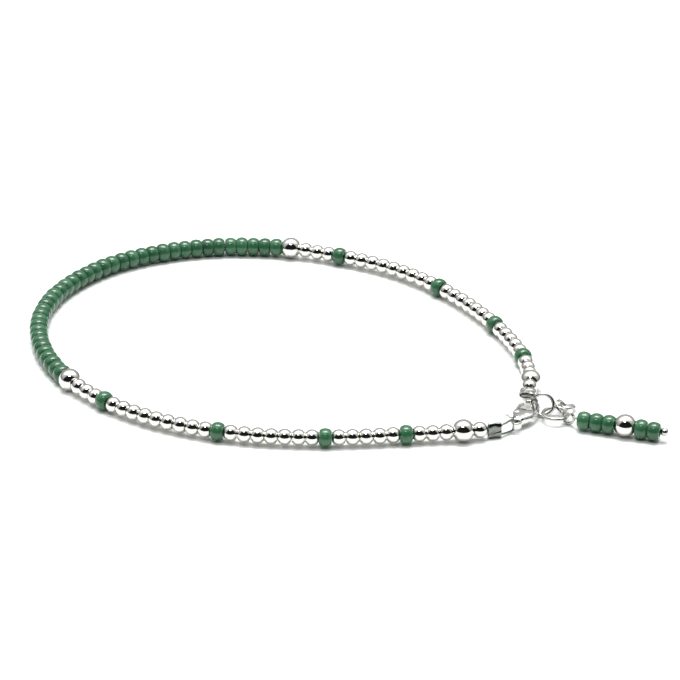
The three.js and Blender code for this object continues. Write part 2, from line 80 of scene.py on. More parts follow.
PIN = {"wire": 0.46, "loop": 2.4, "ball": 1.3}
print("green beads", GREEN_BEAD["diameter"], "mm, silver balls",
      SMALL_BALL["diameter"], "and", LARGE_BALL["diameter"], "mm")

# %% Order of the beads from the clasp's end to the ring's end
STRING = [
    ("near_end_bead", SMALL_BALL, 1), ("near_ball_end", LARGE_BALL, 1),
    ("near_run_1", SMALL_BALL, 3), ("near_green_1", GREEN_BEAD, 1),
    ("near_run_2", SMALL_BALL, 5), ("near_green_2", GREEN_BEAD, 1),
    ("near_run_3", SMALL_BALL, 7), ("near_green_3", GREEN_BEAD, 1),
    ("near_run_4", SMALL_BALL, 9), ("near_green_4", GREEN_BEAD, 1),
    ("near_run_5", SMALL_BALL, 3), ("near_ball_run", LARGE_BALL, 1),
    ("green_bead_run", GREEN_BEAD, 39),
    ("far_ball_run", LARGE_BALL, 1), ("far_run_5", SMALL_BALL, 3),
    ("far_green_4", GREEN_BEAD, 1), ("far_run_4", SMALL_BALL, 9),
    ("far_green_3", GREEN_BEAD, 1), ("far_run_3", SMALL_BALL, 7),
    ("far_green_2", GREEN_BEAD, 1), ("far_run_2", SMALL_BALL, 5),
    ("far_green_1", GREEN_BEAD, 1), ("far_run_1", SMALL_BALL, 3),
    ("far_ball_end", LARGE_BALL, 1), ("far_end_bead", SMALL_BALL, 1),
]
DROP = [
    ("drop_green_1", GREEN_BEAD), ("drop_green_2", GREEN_BEAD), ("drop_green_3", GREEN_BEAD),
    ("drop_ball", LARGE_BALL), ("drop_green_4", GREEN_BEAD), ("drop_green_5", GREEN_BEAD),
]
STRING_LENGTH = sum(bead["pitch"] * count for _, bead, count in STRING)
print("pieces on the string:", len(STRING), "length", round(STRING_LENGTH, 1), "mm")

# %% [markdown]
# ## Places
# The string's route was listed, one point every eight millimetres or so. The fittings each have
# a middle and two angles. All of it is in the frame that the route was drawn in, and one shift, measured
# on a drop bead, brings it to the frame of the solids.

# %% The listed route and the fittings' places
ROUTE_POINTS = [
    (22.1, -32.9), (18.5, -33.7), (10.3, -34.7), (2.2, -35.8), (-5.8, -36.1), (-13.9, -35.4),
    (-21.8, -33.4), (-29.2, -29.9), (-35.7, -25.0), (-41.4, -18.6), (-45.3, -11.1), (-47.4, -3.5),
    (-47.8, 4.0), (-46.3, 11.3), (-42.8, 18.2), (-37.7, 24.1), (-31.2, 28.3), (-24.0, 30.9),
    (-16.2, 31.9), (-8.2, 31.0), (0.0, 28.4), (7.4, 24.6), (13.5, 19.6), (18.7, 13.4), (23.0, 6.5),
    (26.4, -0.8), (28.8, -8.6), (29.5, -16.9), (29.0, -20.4),
]
ROUTE_ANCHOR = np.array([27.0, -27.0, 0.0])
END_RING_CENTRE = np.array([26.7, -30.5, 1.3])
CLASP_RISE = 1.5
CLASP_HEADING = 66.5
RING_A_PLACE = {"x": 30.95, "y": -25.2, "lean": 73, "heading": -100}
RING_B_PLACE = {"x": 32.9, "y": -26.7, "z": 1.17, "lean": 0, "heading": 0}
RING_C_PLACE = {"x": 33.85, "y": -24.56, "z": 1.15, "lean": 53, "heading": -23}
RING_D_PLACE = {"x": 34.75, "y": -23.31, "z": 0.71, "lean": 13.5, "heading": 74}
PIN_LOOP_PLACE = {"x": 34.61, "y": -28.11, "z": 1.22, "lean": 90, "heading": -120}
FAR_LOOP_ANGLE = 150
DROP_START = (36.06, -29.25)
DROP_HEADING = math.radians(-17)
DROP_ALONG = np.array([math.cos(DROP_HEADING), math.sin(DROP_HEADING), 0.0])
ALONG_X = np.array([1.0, 0.0, 0.0])
ALONG_Y = np.array([0.0, 1.0, 0.0])
UP = np.array([0.0, 0.0, 1.0])
print("route points:", len(ROUTE_POINTS))

# %% The shift from the route's frame to the solids' frame
ball_start = sum(bead["pitch"] for _, bead in DROP[:3])
ball_middle = np.array([*DROP_START, 0.0]) + DROP_ALONG * (ball_start + LARGE_BALL["pitch"] / 2)
low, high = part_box("drop_ball")
SHIFT = (np.array(low) + np.array(high)) / 2 / MM - ball_middle
SHIFT[2] = 0.0
print("shift in mm:", SHIFT.round(3))

# %% [markdown]
# ## The camera
# A long lens stands low in front of the clasp's side. It comes first, so that every later choice can be
# looked at from the photograph's angle.

# %% A maker for objects
def new_object(name, data):
    """An object in the scene, round a mesh, a curve, a camera or a lamp."""
    made = bpy.data.objects.new(name, data)
    bpy.context.scene.collection.objects.link(made)
    return made


print("helper ready: new_object")

# %% Camera
LENS = 173.8
CAMERA_DISTANCE = 522.6
CAMERA_ELEVATION = math.radians(26.23)
CAMERA_ROLL = math.radians(0.75)
SENSOR_WIDTH = 36
NEAR_CLIP = 0.01

camera = new_object("camera", bpy.data.cameras.new("camera"))
camera.data.lens = LENS
camera.data.sensor_width = SENSOR_WIDTH
camera.data.clip_start = NEAR_CLIP
looking = Matrix.Rotation(math.pi / 2 - CAMERA_ELEVATION, 3, "X")
camera.rotation_euler = (looking @ Matrix.Rotation(CAMERA_ROLL, 3, "Z")).to_euler()
backwards = Vector((0, -math.cos(CAMERA_ELEVATION), math.sin(CAMERA_ELEVATION)))
camera.location = Vector(SHIFT * MM) + backwards * CAMERA_DISTANCE * MM
bpy.context.scene.camera = camera
print("camera at", [round(v, 3) for v in camera.location])

# %% [markdown]
# ## Nodes as plain sums
# A finish is easier to read as `0.1 + 0.2 * cloud` than as a row of node calls. `Value` wraps one socket
# and turns each operator into a Math node. `Tree.node` is the only place that makes a node: it takes
# the node's type, its settings, and what goes into its sockets.

# %% A socket in an expression
class Value:
    """One output of a node, used as a number."""

    def __init__(self, tree, socket):
        self.tree = tree
        self.socket = socket

    def math(self, operation, first, second):
        made = self.tree.node("ShaderNodeMath", {"operation": operation}, {0: first, 1: second})
        return Value(self.tree, made.outputs[0])

    def __add__(self, other):
        return self.math("ADD", self, other)

    def __radd__(self, other):
        return self.math("ADD", other, self)

    def __rsub__(self, other):
        return self.math("SUBTRACT", other, self)

    def __mul__(self, other):
        return self.math("MULTIPLY", self, other)

    def __rmul__(self, other):
        return self.math("MULTIPLY", other, self)


# %% The maker of nodes
class Tree:
    """The nodes of one material or one geometry tree."""

    def __init__(self, tree):
        self.tree = tree

    def node(self, kind, settings=None, values=None):
        made = self.tree.nodes.new(kind)
        for name, setting in (settings or {}).items():
            if name == "stops":
                self.fill_ramp(made.color_ramp, setting)
            else:
                setattr(made, name, setting)
        for key, value in (values or {}).items():
            if isinstance(value, Value):
                value = value.socket
            if isinstance(value, bpy.types.NodeSocket):
                self.tree.links.new(value, made.inputs[key])
            else:
                made.inputs[key].default_value = value
        return made

    def value(self, kind, settings=None, values=None, output=0):
        return Value(self, self.node(kind, settings, values).outputs[output])

    @staticmethod
    def fill_ramp(ramp, stops):
        while len(ramp.elements) < len(stops):
            ramp.elements.new(1.0)
        for element, (place, colour) in zip(ramp.elements, stops):
            element.position = place
            element.color = colour


def new_material(name):
    material = bpy.data.materials.new(name)
    material.use_nodes = True
    material.node_tree.nodes.clear()
    return material, Tree(material.node_tree)


print("helpers ready: Value, Tree, new_material")

# %% [markdown]
# ## Five metals from one recipe
# The balls are bright and slightly warm, and they are never perfect: handling leaves a faint haze and
# hairline scratches. The haze is a cloud in the roughness, and the scratches are noise stretched thin
# along one way, too shallow to see except in a reflection. The cast clasp is a little hazier, the rings
# and the head pin are greyer, and the crimp by the clasp is painted dark as painted shade. The wire is
# steel.

# %% Metals, from the brightest to the dullest
SILVER_BRIGHT = (0.79, 0.785, 0.76, 1.0)
SILVER_WARM = (0.62, 0.59, 0.52, 1.0)
CAST_BRIGHT = (0.72, 0.72, 0.705, 1.0)
CAST_DULL = (0.50, 0.49, 0.45, 1.0)
# The rings and the head pin are greyer and darker than the balls.
GREY_BRIGHT = (0.62, 0.62, 0.605, 1.0)
GREY_DULL = (0.40, 0.39, 0.36, 1.0)
# Painted shade: the crimp by the clasp is given a nearly black metal colour.
SHADED_CRIMP_BRIGHT = (0.28, 0.29, 0.27, 1.0)
SHADED_CRIMP_DULL = (0.06, 0.065, 0.06, 1.0)
STEEL_BRIGHT = (0.26, 0.26, 0.26, 1.0)
STEEL_DULL = (0.17, 0.17, 0.16, 1.0)
HAIRLINE = 0.01 * MM


def clouded_metal(name, haze, bright, dull):
    """A metal between two colours, with this much roughness and hairline scratches."""
    material, tree = new_material(name)
    place = tree.value("ShaderNodeTexCoord", output="Object")
    cloud = tree.value("ShaderNodeTexNoise", None, {"Vector": place, "Scale": 420.0, "Detail": 3.0})
    stretched = tree.value("ShaderNodeMapping", None, {"Vector": place, "Scale": (900.0, 9000.0, 2500.0)})
    scratch = tree.value("ShaderNodeTexNoise", None, {"Vector": stretched, "Scale": 1.0, "Detail": 2.0})
    colour = tree.node("ShaderNodeMix", {"data_type": "RGBA"}, {0: cloud * 0.6, 6: bright, 7: dull})
    bump = tree.node("ShaderNodeBump", None, {"Strength": 0.05, "Distance": HAIRLINE, "Height": scratch})
    shader = tree.node("ShaderNodeBsdfPrincipled", None, {
        "Base Color": colour.outputs[2], "Metallic": 1.0,
        "Roughness": haze + 0.05 * cloud, "Normal": bump.outputs[0]})
    tree.node("ShaderNodeOutputMaterial", None, {"Surface": shader.outputs[0]})
    return material


silver = clouded_metal("polished_silver", 0.035, SILVER_BRIGHT, SILVER_WARM)
cast_silver = clouded_metal("cast_silver", 0.07, CAST_BRIGHT, CAST_DULL)
grey_silver = clouded_metal("grey_silver", 0.05, GREY_BRIGHT, GREY_DULL)
shaded_crimp_silver = clouded_metal("shaded_crimp_silver", 0.16, SHADED_CRIMP_BRIGHT, SHADED_CRIMP_DULL)
wire_metal = clouded_metal("beading_wire", 0.24, STEEL_BRIGHT, STEEL_DULL)
for metal in (silver, cast_silver, grey_silver, shaded_crimp_silver, wire_metal):
    print("made", metal.name)

# %% [markdown]
# ## Jade-green glass
# The beads are opaque pressed glass, the green of jade, with a wet gloss. Light goes a little way in,
# so the rims glow and no two beads are quite the same. Each bead carries a number of its own called
# tint, which moves its colour, and a fine cloud inside each bead moves it again.

# %% Jade-green glass
GLASS_DEEP = (0.012, 0.066, 0.028, 1.0)
GLASS_MIDDLE = (0.028, 0.121, 0.054, 1.0)
GLASS_PALE = (0.053, 0.178, 0.085, 1.0)

green_glass, tree = new_material("jade_green_glass")
place = tree.value("ShaderNodeTexCoord", output="Object")
tint = tree.value("ShaderNodeAttribute", {"attribute_name": "tint"}, output="Fac")
cloud = tree.value("ShaderNodeTexNoise", None, {"Vector": place, "Scale": 700.0, "Detail": 4.0})
ripple = tree.value("ShaderNodeTexNoise", None, {"Vector": place, "Scale": 1100.0, "Detail": 1.0})
colour = tree.node("ShaderNodeValToRGB", {"stops": [
    (0.15, GLASS_DEEP), (0.5, GLASS_MIDDLE), (0.9, GLASS_PALE)]}, {0: 0.12 + 0.46 * cloud + 0.30 * tint})
bump = tree.node("ShaderNodeBump", None, {"Strength": 0.25, "Distance": 0.00004, "Height": ripple})
shader = tree.node("ShaderNodeBsdfPrincipled", None, {
    "Base Color": colour.outputs[0], "Roughness": 0.05 + 0.08 * cloud, "Normal": bump.outputs[0],
    "Subsurface Weight": 0.1, "Subsurface Radius": (0.4, 1.0, 0.5), "Subsurface Scale": 0.0005,
    "Specular IOR Level": 0.45, "Coat Weight": 0.25, "Coat Roughness": 0.02})
tree.node("ShaderNodeOutputMaterial", None, {"Surface": shader.outputs[0]})
FINISH = {"silver": silver, "green_glass": green_glass, "wire": wire_metal}
print("made", green_glass.name)

# %% [markdown]
# ## One bead to repeat
# A drilled bead is a closed outline turned round its bore: out along one lip, over the belly, back by
# the other lip, and home through the hole. A ball is nearly a sphere with its ends cut by the drill. A
# pressed glass bead is a fat ring, so its outline is a rounded square set away from the axis.

# %% Outlines of the two kinds of bead
LIP = 0.13
LIP_EDGE = 0.02             # from a ball's flat end to where its round belly starts
LIP_SLOPE = (0.03, 0.4)     # one point between lip and bore: how deep, and at what share of LIP
BEAD_SIDES = 40
GLASS_POWER = 1.9           # 2 would be a plain torus, and more is squarer


def squared(value, power):
    """A sine or cosine bent so that a circle becomes a rounded square."""
    return math.copysign(abs(value) ** power, value)


def ball_outline(bead):
    """Along and out from the axis, from one lip to the other."""
    radius = bead["diameter"] / 2
    half = (bead["pitch"] - BEAD_AIR) / 2
    edge = math.acos((half - LIP_EDGE) / radius)
    belly = [(radius * math.cos(angle), radius * math.sin(angle))
             for angle in np.linspace(edge, math.pi - edge, 17)]
    bore = BORE / 2
    sunk, share = LIP_SLOPE
    lip = [(half, belly[0][1] - LIP), (half - sunk, bore + LIP * share), (half - LIP, bore)]
    return lip[::-1] + belly + [(-along, out) for along, out in lip]


def glass_outline(bead):
    half = (bead["pitch"] - BEAD_AIR) / 2
    bore = BORE / 2
    out_half = (bead["diameter"] / 2 - bore) / 2
    rounding = 2 / GLASS_POWER
    outline = []
    for angle in np.linspace(-math.pi / 2, 1.5 * math.pi, 26, endpoint=False):
        out = squared(math.sin(angle), rounding)
        outline.append((half * squared(math.cos(angle), rounding), bore + out_half * (1 + out)))
    return outline


def turned(name, outline):
    """A closed outline turned round the Z axis, as one closed mesh in metres."""
    count = len(outline)
    points = []
    for side in range(BEAD_SIDES):
        angle = 2 * math.pi * side / BEAD_SIDES
        for along, out in outline:
            points.append((out * MM * math.cos(angle), out * MM * math.sin(angle), along * MM))
    faces = []
    for side in range(BEAD_SIDES):
        here = side * count
        there = (side + 1) % BEAD_SIDES * count
        for step in range(count):
            after = (step + 1) % count
            faces.append((here + step, here + after, there + after, there + step))
    mesh = bpy.data.meshes.new(name)
    mesh.from_pydata(points, [], faces)
    outwards(mesh)
    return mesh


def outwards(mesh):
    """Turns every face of a closed mesh outwards and shades it smoothly."""
    form = bmesh.new()
    form.from_mesh(mesh)
    bmesh.ops.remove_doubles(form, verts=form.verts, dist=1e-7)
    bmesh.ops.recalc_face_normals(form, faces=form.faces)
    form.to_mesh(mesh)
    form.free()
    mesh.shade_smooth()


BEAD_FORM = {}
for bead in (SMALL_BALL, GREEN_BEAD, LARGE_BALL):
    outline = glass_outline(bead) if bead is GREEN_BEAD else ball_outline(bead)
    BEAD_FORM[bead["name"]] = bpy.data.objects.new(bead["name"], turned(bead["name"], outline))
    print(bead["name"], "faces:", len(BEAD_FORM[bead["name"]].data.polygons))

# %% [markdown]
# ## The string's path
# The wire goes through the listed points on a spline that never overshoots them. Its form is kept
# and it is drawn out until it is exactly as long as its beads. It runs at the height of a glass bead's
# middle and rises over each large ball, because a ball that is bigger lifts its neighbours.

# %% A smooth line through points
def spline(points, steps):
    """Centripetal spline through the points, with a number of steps between two of them."""
    points = np.array(points, dtype=float)
    first = 2 * points[0] - points[1]
    last = 2 * points[-1] - points[-2]
    padded = np.vstack([first, points, last])
    line = []
    for index in range(len(points) - 1):
        p0, p1, p2, p3 = padded[index:index + 4]
        d0, d1, d2 = (math.sqrt(np.linalg.norm(b - a)) for a, b in ((p0, p1), (p1, p2), (p2, p3)))
        out = ((p1 - p0) / d0 - (p2 - p0) / (d0 + d1) + (p2 - p1) / d1) * d1
        into = ((p2 - p1) / d1 - (p3 - p1) / (d1 + d2) + (p3 - p2) / d2) * d1
        for t in np.arange(steps) / steps:
            line.append((2 * t**3 - 3 * t**2 + 1) * p1 + (t**3 - 2 * t**2 + t) * out
                        + (3 * t**2 - 2 * t**3) * p2 + (t**3 - t**2) * into)
    line.append(points[-1])
    return np.array(line)


def lengths(line):
    """The distance along the line at each of its points."""
    return np.concatenate([[0], np.cumsum(np.linalg.norm(np.diff(line, axis=0), axis=1))])


def evenly(line, step):
    """The same line with points at an even distance."""
    along = lengths(line)
    places = np.linspace(0, along[-1], math.ceil(along[-1] / step) + 1)
    return np.column_stack([np.interp(places, along, line[:, axis]) for axis in range(3)])


# %% The path of the string
flat_points = np.array([(x, y, 0.0) for x, y in ROUTE_POINTS])
stretch = 1.0
for _ in range(8):
    flat_line = spline((flat_points - ROUTE_ANCHOR) * stretch + ROUTE_ANCHOR, 60)
    stretch *= STRING_LENGTH / lengths(flat_line)[-1]
flat_along = lengths(flat_line)
print("path length in mm:", round(flat_along[-1], 2), "drawn out", round(stretch, 4))

# %% Height of the string
starts = np.cumsum([0] + [bead["pitch"] * count for _, bead, count in STRING])
ball_places = [start + bead["pitch"] / 2
               for start, (_, bead, _) in zip(starts, STRING) if bead is LARGE_BALL]


def string_height(place):
    base = GREEN_BEAD["diameter"] / 2 + RESTING_GAP
    lift = (LARGE_BALL["diameter"] - GREEN_BEAD["diameter"]) / 2
    past = place - ball_places[-1]
    if past > 0:
        return base + lift + FAR_CLIMB * past
    nearest = min(abs(place - ball) for ball in ball_places)
    return base + lift * math.exp(-((nearest / LIFT_REACH) ** 2))


def string_point(place):
    """A point of the string, also beyond its two ends, where it goes straight on."""
    inside = min(max(place, 0.0), STRING_LENGTH)
    point = np.array([np.interp(inside, flat_along, flat_line[:, axis]) for axis in range(3)])
    end = flat_line[1] - flat_line[0] if inside < STRING_LENGTH / 2 else flat_line[-1] - flat_line[-2]
    point = point + end / np.linalg.norm(end) * (place - inside)
    point[2] = string_height(place)
    return point


string_line = np.array([string_point(place) for place in np.linspace(0, STRING_LENGTH, 900)])
print("height from", round(string_line[:, 2].min(), 2), "to", round(string_line[:, 2].max(), 2), "mm")

# %% [markdown]
# ## Beads on a path
# One tree of Geometry Nodes threads every run. It takes a path, a bead, where the run starts, the pitch
# and the count. Points are set along the path, a bead is put on each, and each bead gets a small tilt,
# a small step aside and a size of its own, as on a real string where no bead is drilled quite true.

# %% Makers for curves and geometry trees
def curve_object(name, line):
    """A line of points in millimetres as a curve of straight steps, in metres."""
    data = bpy.data.curves.new(name, "CURVE")
    data.dimensions = "3D"
    strand = data.splines.new("POLY")
    strand.points.add(len(line) - 1)
    for point, place in zip(strand.points, line):
        point.co = (*(np.array(place) * MM), 1.0)
    return new_object(name, data)


def geometry_tree(name, inputs):
    """A tree with named inputs, its maker and the sockets of those inputs."""
    group = bpy.data.node_groups.new(name, "GeometryNodeTree")
    for label, kind in inputs:
        group.interface.new_socket(label, in_out="INPUT", socket_type=kind)
    group.interface.new_socket("Geometry", in_out="OUTPUT", socket_type="NodeSocketGeometry")
    tree = Tree(group)
    entry = tree.node("NodeGroupInput")
    return group, tree, {label: Value(tree, entry.outputs[label]) for label, _ in inputs}


def finish_tree(tree, geometry, finish):
    real = tree.value("GeometryNodeRealizeInstances", None, {0: geometry})
    dressed = tree.value("GeometryNodeSetMaterial", None, {"Geometry": real, "Material": finish})
    tree.node("NodeGroupOutput", None, {0: dressed})


def settle(piece):
    """Keeps what an object's modifiers make as its own plain mesh."""
    seen = piece.evaluated_get(bpy.context.evaluated_depsgraph_get())
    mesh = bpy.data.meshes.new_from_object(seen)
    piece.modifiers.clear()
    piece.data = mesh


def grown(name, group, settings):
    """Runs a tree with these inputs and keeps the result as a plain mesh object."""
    seed = new_object(name, bpy.data.meshes.new(name))
    modifier = seed.modifiers.new("tree", "NODES")
    modifier.node_group = group
    for item in group.interface.items_tree:
        if item.in_out == "INPUT":
            modifier[item.identifier] = settings[item.name]
    settle(seed)
    seed.data.name = name
    return seed


# %% The tree that threads a run of beads
threading, tree, given = geometry_tree("thread_a_run", [
    ("Path", "NodeSocketObject"), ("Bead", "NodeSocketObject"), ("Start", "NodeSocketFloat"),
    ("Pitch", "NodeSocketFloat"), ("Count", "NodeSocketInt"), ("Tilt", "NodeSocketFloat"),
    ("Aside", "NodeSocketFloat"), ("Spread", "NodeSocketFloat"), ("Seed", "NodeSocketInt"),
    ("Finish", "NodeSocketMaterial")])


def random_number(low, high, offset):
    return tree.value("FunctionNodeRandomValue", {"data_type": "FLOAT"}, {
        2: low, 3: high, "Seed": given["Seed"] + offset}, output=1)


def random_turns(tilt, offset):
    around = random_number(0.0, 2 * math.pi, offset + 2)
    return tree.value("ShaderNodeCombineXYZ", None, {
        0: random_number(-1.0, 1.0, offset) * tilt,
        1: random_number(-1.0, 1.0, offset + 1) * tilt, 2: around})


index = tree.value("GeometryNodeInputIndex")
path = tree.value("GeometryNodeObjectInfo", None, {0: given["Path"]}, output="Geometry")
bead = tree.value("GeometryNodeObjectInfo", None, {0: given["Bead"]}, output="Geometry")
sample = tree.node("GeometryNodeSampleCurve", {"mode": "LENGTH"}, {
    "Curves": path, "Length": given["Start"] + given["Pitch"] * (index + 0.5)})
aside = tree.value("ShaderNodeCombineXYZ", None, {
    0: random_number(-1.0, 1.0, 11) * given["Aside"],
    1: random_number(-1.0, 1.0, 12) * given["Aside"],
    2: random_number(0.0, 0.3, 13) * given["Aside"]})
points = tree.value("GeometryNodePoints", None, {"Count": given["Count"]})
threaded = tree.value("GeometryNodeSetPosition", None, {
    "Geometry": points, "Position": sample.outputs["Position"], "Offset": aside})
facing = tree.value("FunctionNodeAlignRotationToVector", {"axis": "Z"}, {
    "Vector": sample.outputs["Tangent"]})
turned_bead = tree.value("FunctionNodeRotateRotation", {"rotation_space": "LOCAL"}, {
    "Rotation": facing, "Rotate By": random_turns(given["Tilt"], 21)})
across = 1.0 - random_number(0.0, 1.0, 31) * given["Spread"]
own_size = tree.value("ShaderNodeCombineXYZ", None, {0: across, 1: across, 2: 1.0})
placed = tree.value("GeometryNodeInstanceOnPoints", None, {
    "Points": threaded, "Instance": bead, "Rotation": turned_bead, "Scale": own_size})
tinted = tree.value("GeometryNodeStoreNamedAttribute", {"data_type": "FLOAT", "domain": "INSTANCE"}, {
    "Geometry": placed, "Name": "tint", "Value": random_number(0.0, 1.0, 41)})
finish_tree(tree, tinted, given["Finish"])
print("tree", threading.name, "has", len(threading.nodes), "nodes")

# %% Thread every run of the string
LOOSE = {
    "green_glass": {"Tilt": math.radians(2.2), "Aside": 0.03 * MM, "Spread": 0.07},
    "silver": {"Tilt": math.radians(1.5), "Aside": 0.02 * MM, "Spread": 0.012},
}
BODY = "anklet"
STRING_SEED = 100
DROP_SEED = 500
SEED_STEP = 7


def thread(name, path, bead, start, count, seed):
    """One run of beads, which stands for the solid of the same name."""
    piece = grown(name + "_beads", threading, {
        "Path": path, "Bead": BEAD_FORM[bead["name"]], "Start": start * MM, "Pitch": bead["pitch"] * MM,
        "Count": count, "Seed": seed, "Finish": FINISH[bead["slot"]], **LOOSE[bead["slot"]]})
    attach(piece, BODY)
    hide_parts(name)
    return len(piece.data.polygons)


string_path = curve_object("string_path", string_line + SHIFT)
bpy.context.view_layer.update()
faces = [thread(name, string_path, bead, start, count, STRING_SEED + number * SEED_STEP)
         for number, (start, (name, bead, count)) in enumerate(zip(starts, STRING))]
bpy.data.objects.remove(string_path)
print("runs:", len(faces), "faces:", sum(faces))

# %% Thread the drop
DROP_REACH = 20.0       # longer than the drop, so that its path has room for every bead
drop_faces = 0
start = 0.0
for number, (name, bead) in enumerate(DROP):
    height = bead["diameter"] / 2 + RESTING_GAP
    line = [np.array([*DROP_START, height]) + DROP_ALONG * place for place in (0.0, DROP_REACH)]
    drop_path = curve_object("drop_path", np.array(line) + SHIFT)
    drop_faces += thread(name, drop_path, bead, start, 1, DROP_SEED + number * SEED_STEP)
    bpy.data.objects.remove(drop_path)
    start += bead["pitch"]
DROP_LENGTH = start
print("drop:", len(DROP), "beads on", round(DROP_LENGTH, 2), "mm, faces:", drop_faces)

# %% [markdown]
# ## Jump rings
# A jump ring is a turn of round wire sawn through, and its two ends are pushed together. A plain torus
# would hide that joint. So a second tree takes the ring's size and the joint's width, bends an arc,
# sweeps the wire along it and caps both ends. Four rings come from it, each then moved to its place.

# %% The tree that bends a ring
bending, tree, given = geometry_tree("bend_a_ring", [
    ("Radius", "NodeSocketFloat"), ("Wire", "NodeSocketFloat"), ("Joint", "NodeSocketFloat"),
    ("Turned", "NodeSocketFloat"), ("Finish", "NodeSocketMaterial")])
arc = tree.value("GeometryNodeCurveArc", None, {
    "Resolution": 96, "Radius": given["Radius"], "Start Angle": given["Turned"],
    "Sweep Angle": 2 * math.pi - given["Joint"]})
section = tree.value("GeometryNodeCurvePrimitiveCircle", None, {
    "Resolution": 20, "Radius": given["Wire"] * 0.5})
swept = tree.value("GeometryNodeCurveToMesh", None, {
    "Curve": arc, "Profile Curve": section, "Fill Caps": True})
finish_tree(tree, swept, given["Finish"])
print("tree", bending.name, "has", len(bending.nodes), "nodes")


# %% Bend the four rings
SHARP_ANGLE = math.radians(42)
RING_JOINT = math.radians(2.5)


def middle_of(spot):
    return np.array([spot["x"], spot["y"], spot["z"]])


def ring_matrix(spot):
    """The place of a ring, in millimetres: its axis is leaned over and then turned."""
    middle = Vector(middle_of(spot) + SHIFT)
    lean = Matrix.Rotation(math.radians(spot["lean"]), 4, "Y")
    heading = Matrix.Rotation(math.radians(spot["heading"]), 4, "Z")
    return Matrix.Translation(middle) @ heading @ lean


def in_metres(matrix):
    """The same place for a mesh that is in metres already."""
    placed = matrix.copy()
    placed.translation *= MM
    return placed


def keep(piece, node, body=BODY):
    """Shades a finished piece, puts it on its body, and hides the solid it stands for."""
    outwards(piece.data)
    piece.data.set_sharp_from_angle(angle=SHARP_ANGLE)
    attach(piece, body)
    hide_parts(node)


RING_A_PLACE["z"] = ((RING_A["outer"] - RING_A["wire"]) / 2 * math.sin(math.radians(RING_A_PLACE["lean"]))
                     + RING_A["wire"] / 2 + RESTING_GAP)
RINGS = [
    ("ring_a", RING_A, RING_A_PLACE, 200), ("ring_b", RING_B, RING_B_PLACE, 60),
    ("ring_c", RING_C, RING_C_PLACE, 75), ("ring_d", RING_D, RING_D_PLACE, 15),
]
for name, size, spot, joint_at in RINGS:
    ring = grown(name + "_bent", bending, {
        "Radius": (size["outer"] - size["wire"]) / 2 * MM, "Wire": size["wire"] * MM,
        "Joint": RING_JOINT, "Turned": math.radians(joint_at), "Finish": grey_silver})
    ring.data.transform(in_metres(ring_matrix(spot)))
    keep(ring, name)
    print(name, "outer", size["outer"], "mm, faces:", len(ring.data.polygons))

# %% [markdown]
# ## The wire
# Beading wire is a cable of fine steel strands. In the beads it can't be seen, but at each end it comes
# out of a crimp, makes a loop and goes back in. A third tree turns a lobed section steadily along the
# path, which is what a twisted cable looks like from outside.

# %% Frames of the crimps
def unit(vector):
    return vector / np.linalg.norm(vector)


def string_along(place):
    return unit(string_point(place + 0.05) - string_point(place - 0.05))


near_along = -string_along(-CRIMP_MIDDLE)
near_middle = string_point(-CRIMP_MIDDLE)
near_middle[2] = CRIMP["height"] / 2 + RESTING_GAP
far_along = string_along(STRING_LENGTH + CRIMP_MIDDLE)
far_middle = string_point(STRING_LENGTH + CRIMP_MIDDLE)
far_apart = unit(np.cross(UP, far_along))
clasp_turn = (Matrix.Rotation(math.radians(CLASP_HEADING), 4, "Z")
              @ Matrix.Rotation(math.radians(-CLASP_RISE), 4, "Y"))
clasp_axis = np.array(clasp_turn.to_3x3() @ Vector((0, 0, 1)))
print("crimps at", near_middle.round(2), far_middle.round(2))


# %% The two end loops of the wire
def end_loop(middle, along, apart, corners):
    """From the last bead through the crimp, round the corners and back into the crimp."""
    half = CRIMP["length"] / 2
    spread = STRAND_SPREAD / 2
    points = [middle - along * half, middle + along * half * 0.2 + apart * spread * 0.6,
              middle + along * half + apart * spread, *corners,
              middle + along * half - apart * spread, middle + along * half * 0.1 - apart * spread * 0.8]
    return evenly(spline(points, 40), 0.12)


def on_ring(spot, radius, angle, off=0.0):
    """A point beside a ring's middle line, in millimetres, without the shift."""
    turn = ring_matrix(spot).to_3x3()
    axis, across = turn @ Vector((0, 0, 1)), turn @ Vector((0, 1, 0))
    rise = axis.cross(across)
    offset = (across * math.cos(math.radians(angle)) + rise * math.sin(math.radians(angle))) * radius
    return middle_of(spot) + np.array(offset + axis * off)


back = unit((near_middle - END_RING_CENTRE) * np.array([1, 1, 0]))
above = (END_RING["height"] + WIRE) / 2 + WIRE_CLEARANCE
wall = (END_RING["outer"] + END_RING["bore"]) / 4
in_bore = (END_RING["bore"] - WIRE) / 2 - WIRE_CLEARANCE
near_loop = end_loop(near_middle, near_along, UP, [
    END_RING_CENTRE + back * wall + clasp_axis * above,
    END_RING_CENTRE + back * in_bore + clasp_axis * END_RING["height"] / 2,
    END_RING_CENTRE + back * in_bore - clasp_axis * END_RING["height"] / 2,
    END_RING_CENTRE + back * wall - clasp_axis * above])
reach = (RING_A["wire"] + WIRE) / 2 + WIRE_CLEARANCE
ring_a_middle = (RING_A["outer"] - RING_A["wire"]) / 2
far_loop = end_loop(far_middle, far_along, far_apart, [
    on_ring(RING_A_PLACE, ring_a_middle - reach, FAR_LOOP_ANGLE),
    on_ring(RING_A_PLACE, ring_a_middle, FAR_LOOP_ANGLE, reach),
    on_ring(RING_A_PLACE, ring_a_middle + reach, FAR_LOOP_ANGLE)])
wire_line = np.vstack([near_loop[::-1], evenly(string_line, 0.3), far_loop])
print("wire:", round(lengths(wire_line)[-1], 1), "mm in", len(wire_line), "points")

